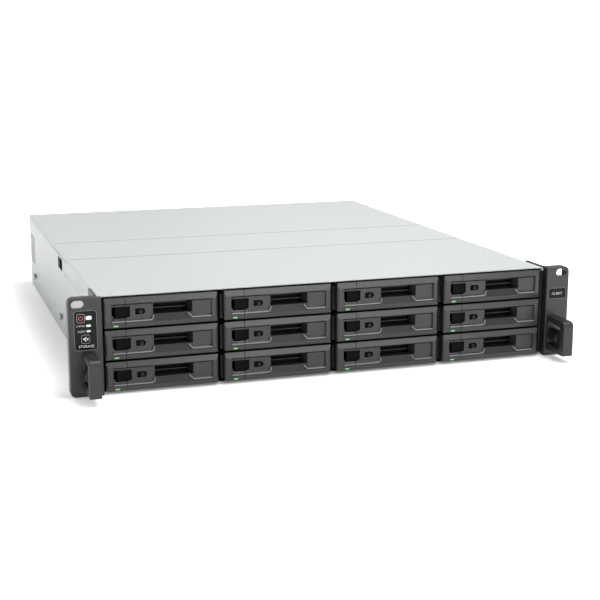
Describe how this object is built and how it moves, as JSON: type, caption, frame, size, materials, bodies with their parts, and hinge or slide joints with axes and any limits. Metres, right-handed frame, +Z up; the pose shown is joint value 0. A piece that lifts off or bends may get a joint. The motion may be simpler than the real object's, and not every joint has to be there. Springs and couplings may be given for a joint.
{
  "type": "network attached storage",
  "caption": "Two-unit rack-mount network storage with hot-swap drive trays, latch levers, rack ears with pull handles and a lift-out fan cover.",
  "frame": {"origin": "bottom centre of the whole unit's bounding box, handles and screws included", "axes": "+X to the right as seen from the front, +Y from the front to the back, +Z up"},
  "size_m": [0.482, 0.552, 0.088],
  "materials": {
    "cover_paint": "fine satin paint",
    "chassis_paint": "fine satin paint",
    "ear_plastic": "fine matte texture",
    "handle_paint": "fine matte texture",
    "tray_plastic": "fine spark texture",
    "lever_plastic": "fine spark texture",
    "button_plastic": "smooth",
    "fascia_gloss": "gloss",
    "switch_plastic": "satin",
    "cage_steel": "matte",
    "board_green": "solder mask",
    "fan_plastic": "satin",
    "port_steel": "brushed",
    "psu_steel": "zinc plated",
    "screw_steel": "nickel plated",
    "rear_steel": "fine satin paint",
    "knob_plastic": "knurled"
  },
  "bodies": {
    "chassis": {"chassis_base": "chassis_paint", "rear_panel": "rear_steel", "front_cover": "cover_paint", "rear_cover": "cover_paint", "left_ear": "ear_plastic", "right_ear": "ear_plastic", "pull_handles": "handle_paint", "control_fascia": "fascia_gloss", "drive_cage": "cage_steel", "circuit_boards": "board_green", "fan_frames": "fan_plastic", "rear_ports": "port_steel", "power_supply": "psu_steel", "fasteners": "screw_steel"},
    "tray_01": {"tray_01": "tray_plastic"},
    "tray_lever_01": {"tray_lever_01": "lever_plastic"},
    "tray_button_01": {"tray_button_01": "button_plastic"},
    "tray_02": {"tray_02": "tray_plastic"},
    "tray_lever_02": {"tray_lever_02": "lever_plastic"},
    "tray_button_02": {"tray_button_02": "button_plastic"},
    "tray_03": {"tray_03": "tray_plastic"},
    "tray_lever_03": {"tray_lever_03": "lever_plastic"},
    "tray_button_03": {"tray_button_03": "button_plastic"},
    "tray_04": {"tray_04": "tray_plastic"},
    "tray_lever_04": {"tray_lever_04": "lever_plastic"},
    "tray_button_04": {"tray_button_04": "button_plastic"},
    "tray_05": {"tray_05": "tray_plastic"},
    "tray_lever_05": {"tray_lever_05": "lever_plastic"},
    "tray_button_05": {"tray_button_05": "button_plastic"},
    "tray_06": {"tray_06": "tray_plastic"},
    "tray_lever_06": {"tray_lever_06": "lever_plastic"},
    "tray_button_06": {"tray_button_06": "button_plastic"},
    "tray_07": {"tray_07": "tray_plastic"},
    "tray_lever_07": {"tray_lever_07": "lever_plastic"},
    "tray_button_07": {"tray_button_07": "button_plastic"},
    "tray_08": {"tray_08": "tray_plastic"},
    "tray_lever_08": {"tray_lever_08": "lever_plastic"},
    "tray_button_08": {"tray_button_08": "button_plastic"},
    "tray_09": {"tray_09": "tray_plastic"},
    "tray_lever_09": {"tray_lever_09": "lever_plastic"},
    "tray_button_09": {"tray_button_09": "button_plastic"},
    "tray_10": {"tray_10": "tray_plastic"},
    "tray_lever_10": {"tray_lever_10": "lever_plastic"},
    "tray_button_10": {"tray_button_10": "button_plastic"},
    "tray_11": {"tray_11": "tray_plastic"},
    "tray_lever_11": {"tray_lever_11": "lever_plastic"},
    "tray_button_11": {"tray_button_11": "button_plastic"},
    "tray_12": {"tray_12": "tray_plastic"},
    "tray_lever_12": {"tray_lever_12": "lever_plastic"},
    "tray_button_12": {"tray_button_12": "button_plastic"},
    "power_button": {"power_button": "switch_plastic"},
    "mute_button": {"mute_button": "switch_plastic"},
    "fan_rotor_1": {"fan_rotor_1": "fan_plastic"},
    "fan_rotor_2": {"fan_rotor_2": "fan_plastic"},
    "fan_rotor_3": {"fan_rotor_3": "fan_plastic"},
    "captive_screw_left": {"captive_screw_left": "knob_plastic"},
    "cover_latch_left": {"cover_latch_left": "chassis_paint"},
    "captive_screw_right": {"captive_screw_right": "knob_plastic"},
    "cover_latch_right": {"cover_latch_right": "chassis_paint"},
    "fan_cover": {"fan_cover": "cover_paint"}
  },
  "joints": [
    {"name": "tray_01_slide", "type": "slide", "parent": "chassis", "child": "tray_01", "axis": [0, -1, 0], "range_m": [0, 0.16]},
    {"name": "lever_01_hinge", "type": "hinge", "parent": "tray_01", "child": "tray_lever_01", "pos_m": [-0.11255, -0.2388, 0.06665], "axis": [0, 0, 1], "range_deg": [0, 60]},
    {"name": "release_01_press", "type": "slide", "parent": "tray_01", "child": "tray_button_01", "axis": [0, 1, 0], "range_m": [0, 0.002], "stiffness_N_per_m": 400, "springref_m": -0.001},
    {"name": "tray_02_slide", "type": "slide", "parent": "chassis", "child": "tray_02", "axis": [0, -1, 0], "range_m": [0, 0.16]},
    {"name": "lever_02_hinge", "type": "hinge", "parent": "tray_02", "child": "tray_lever_02", "pos_m": [-0.00605, -0.2388, 0.06665], "axis": [0, 0, 1], "range_deg": [0, 60]},
    {"name": "release_02_press", "type": "slide", "parent": "tray_02", "child": "tray_button_02", "axis": [0, 1, 0], "range_m": [0, 0.002], "stiffness_N_per_m": 400, "springref_m": -0.001},
    {"name": "tray_03_slide", "type": "slide", "parent": "chassis", "child": "tray_03", "axis": [0, -1, 0], "range_m": [0, 0.16]},
    {"name": "lever_03_hinge", "type": "hinge", "parent": "tray_03", "child": "tray_lever_03", "pos_m": [0.10045, -0.2388, 0.06665], "axis": [0, 0, 1], "range_deg": [0, 60]},
    {"name": "release_03_press", "type": "slide", "parent": "tray_03", "child": "tray_button_03", "axis": [0, 1, 0], "range_m": [0, 0.002], "stiffness_N_per_m": 400, "springref_m": -0.001},
    {"name": "tray_04_slide", "type": "slide", "parent": "chassis", "child": "tray_04", "axis": [0, -1, 0], "range_m": [0, 0.16]},
    {"name": "lever_04_hinge", "type": "hinge", "parent": "tray_04", "child": "tray_lever_04", "pos_m": [0.20695, -0.2388, 0.06665], "axis": [0, 0, 1], "range_deg": [0, 60]},
    {"name": "release_04_press", "type": "slide", "parent": "tray_04", "child": "tray_button_04", "axis": [0, 1, 0], "range_m": [0, 0.002], "stiffness_N_per_m": 400, "springref_m": -0.001},
    {"name": "tray_05_slide", "type": "slide", "parent": "chassis", "child": "tray_05", "axis": [0, -1, 0], "range_m": [0, 0.16]},
    {"name": "lever_05_hinge", "type": "hinge", "parent": "tray_05", "child": "tray_lever_05", "pos_m": [-0.11255, -0.2388, 0.03845], "axis": [0, 0, 1], "range_deg": [0, 60]},
    {"name": "release_05_press", "type": "slide", "parent": "tray_05", "child": "tray_button_05", "axis": [0, 1, 0], "range_m": [0, 0.002], "stiffness_N_per_m": 400, "springref_m": -0.001},
    {"name": "tray_06_slide", "type": "slide", "parent": "chassis", "child": "tray_06", "axis": [0, -1, 0], "range_m": [0, 0.16]},
    {"name": "lever_06_hinge", "type": "hinge", "parent": "tray_06", "child": "tray_lever_06", "pos_m": [-0.00605, -0.2388, 0.03845], "axis": [0, 0, 1], "range_deg": [0, 60]},
    {"name": "release_06_press", "type": "slide", "parent": "tray_06", "child": "tray_button_06", "axis": [0, 1, 0], "range_m": [0, 0.002], "stiffness_N_per_m": 400, "springref_m": -0.001},
    {"name": "tray_07_slide", "type": "slide", "parent": "chassis", "child": "tray_07", "axis": [0, -1, 0], "range_m": [0, 0.16]},
    {"name": "lever_07_hinge", "type": "hinge", "parent": "tray_07", "child": "tray_lever_07", "pos_m": [0.10045, -0.2388, 0.03845], "axis": [0, 0, 1], "range_deg": [0, 60]},
    {"name": "release_07_press", "type": "slide", "parent": "tray_07", "child": "tray_button_07", "axis": [0, 1, 0], "range_m": [0, 0.002], "stiffness_N_per_m": 400, "springref_m": -0.001},
    {"name": "tray_08_slide", "type": "slide", "parent": "chassis", "child": "tray_08", "axis": [0, -1, 0], "range_m": [0, 0.16]},
    {"name": "lever_08_hinge", "type": "hinge", "parent": "tray_08", "child": "tray_lever_08", "pos_m": [0.20695, -0.2388, 0.03845], "axis": [0, 0, 1], "range_deg": [0, 60]},
    {"name": "release_08_press", "type": "slide", "parent": "tray_08", "child": "tray_button_08", "axis": [0, 1, 0], "range_m": [0, 0.002], "stiffness_N_per_m": 400, "springref_m": -0.001},
    {"name": "tray_09_slide", "type": "slide", "parent": "chassis", "child": "tray_09", "axis": [0, -1, 0], "range_m": [0, 0.16]},
    {"name": "lever_09_hinge", "type": "hinge", "parent": "tray_09", "child": "tray_lever_09", "pos_m": [-0.11255, -0.2388, 0.01025], "axis": [0, 0, 1], "range_deg": [0, 60]},
    {"name": "release_09_press", "type": "slide", "parent": "tray_09", "child": "tray_button_09", "axis": [0, 1, 0], "range_m": [0, 0.002], "stiffness_N_per_m": 400, "springref_m": -0.001},
    {"name": "tray_10_slide", "type": "slide", "parent": "chassis", "child": "tray_10", "axis": [0, -1, 0], "range_m": [0, 0.16]},
    {"name": "lever_10_hinge", "type": "hinge", "parent": "tray_10", "child": "tray_lever_10", "pos_m": [-0.00605, -0.2388, 0.01025], "axis": [0, 0, 1], "range_deg": [0, 60]},
    {"name": "release_10_press", "type": "slide", "parent": "tray_10", "child": "tray_button_10", "axis": [0, 1, 0], "range_m": [0, 0.002], "stiffness_N_per_m": 400, "springref_m": -0.001},
    {"name": "tray_11_slide", "type": "slide", "parent": "chassis", "child": "tray_11", "axis": [0, -1, 0], "range_m": [0, 0.16]},
    {"name": "lever_11_hinge", "type": "hinge", "parent": "tray_11", "child": "tray_lever_11", "pos_m": [0.10045, -0.2388, 0.01025], "axis": [0, 0, 1], "range_deg": [0, 60]},
    {"name": "release_11_press", "type": "slide", "parent": "tray_11", "child": "tray_button_11", "axis": [0, 1, 0], "range_m": [0, 0.002], "stiffness_N_per_m": 400, "springref_m": -0.001},
    {"name": "tray_12_slide", "type": "slide", "parent": "chassis", "child": "tray_12", "axis": [0, -1, 0], "range_m": [0, 0.16]},
    {"name": "lever_12_hinge", "type": "hinge", "parent": "tray_12", "child": "tray_lever_12", "pos_m": [0.20695, -0.2388, 0.01025], "axis": [0, 0, 1], "range_deg": [0, 60]},
    {"name": "release_12_press", "type": "slide", "parent": "tray_12", "child": "tray_button_12", "axis": [0, 1, 0], "range_m": [0, 0.002], "stiffness_N_per_m": 400, "springref_m": -0.001},
    {"name": "power_press", "type": "slide", "parent": "chassis", "child": "power_button", "axis": [0, 1, 0], "range_m": [0, 0.0008], "stiffness_N_per_m": 1000, "springref_m": -0.0004},
    {"name": "mute_press", "type": "slide", "parent": "chassis", "child": "mute_button", "axis": [0, 1, 0], "range_m": [0, 0.0008], "stiffness_N_per_m": 1000, "springref_m": -0.0004},
    {"name": "fan_1_spin", "type": "hinge", "parent": "chassis", "child": "fan_rotor_1", "pos_m": [-0.14, -0.022, 0.0426], "axis": [0, 1, 0], "continuous": true},
    {"name": "fan_2_spin", "type": "hinge", "parent": "chassis", "child": "fan_rotor_2", "pos_m": [0, -0.022, 0.0426], "axis": [0, 1, 0], "continuous": true},
    {"name": "fan_3_spin", "type": "hinge", "parent": "chassis", "child": "fan_rotor_3", "pos_m": [0.14, -0.022, 0.0426], "axis": [0, 1, 0], "continuous": true},
    {"name": "captive_left_turn", "type": "hinge", "parent": "chassis", "child": "captive_screw_left", "pos_m": [-0.2243, -0.244, 0.0222], "axis": [0, 1, 0], "continuous": true},
    {"name": "latch_left_slide", "type": "slide", "parent": "chassis", "child": "cover_latch_left", "axis": [0, -1, 0], "range_m": [0, 0.012], "stiffness_N_per_m": 200, "springref_m": -0.002},
    {"name": "captive_right_turn", "type": "hinge", "parent": "chassis", "child": "captive_screw_right", "pos_m": [0.2243, -0.244, 0.0222], "axis": [0, 1, 0], "continuous": true},
    {"name": "latch_right_slide", "type": "slide", "parent": "chassis", "child": "cover_latch_right", "axis": [0, -1, 0], "range_m": [0, 0.012], "stiffness_N_per_m": 200, "springref_m": -0.002},
    {"name": "fan_cover_lift", "type": "slide", "parent": "chassis", "child": "fan_cover", "axis": [0, 0, 1], "range_m": [0, 0.06]}
  ]
}
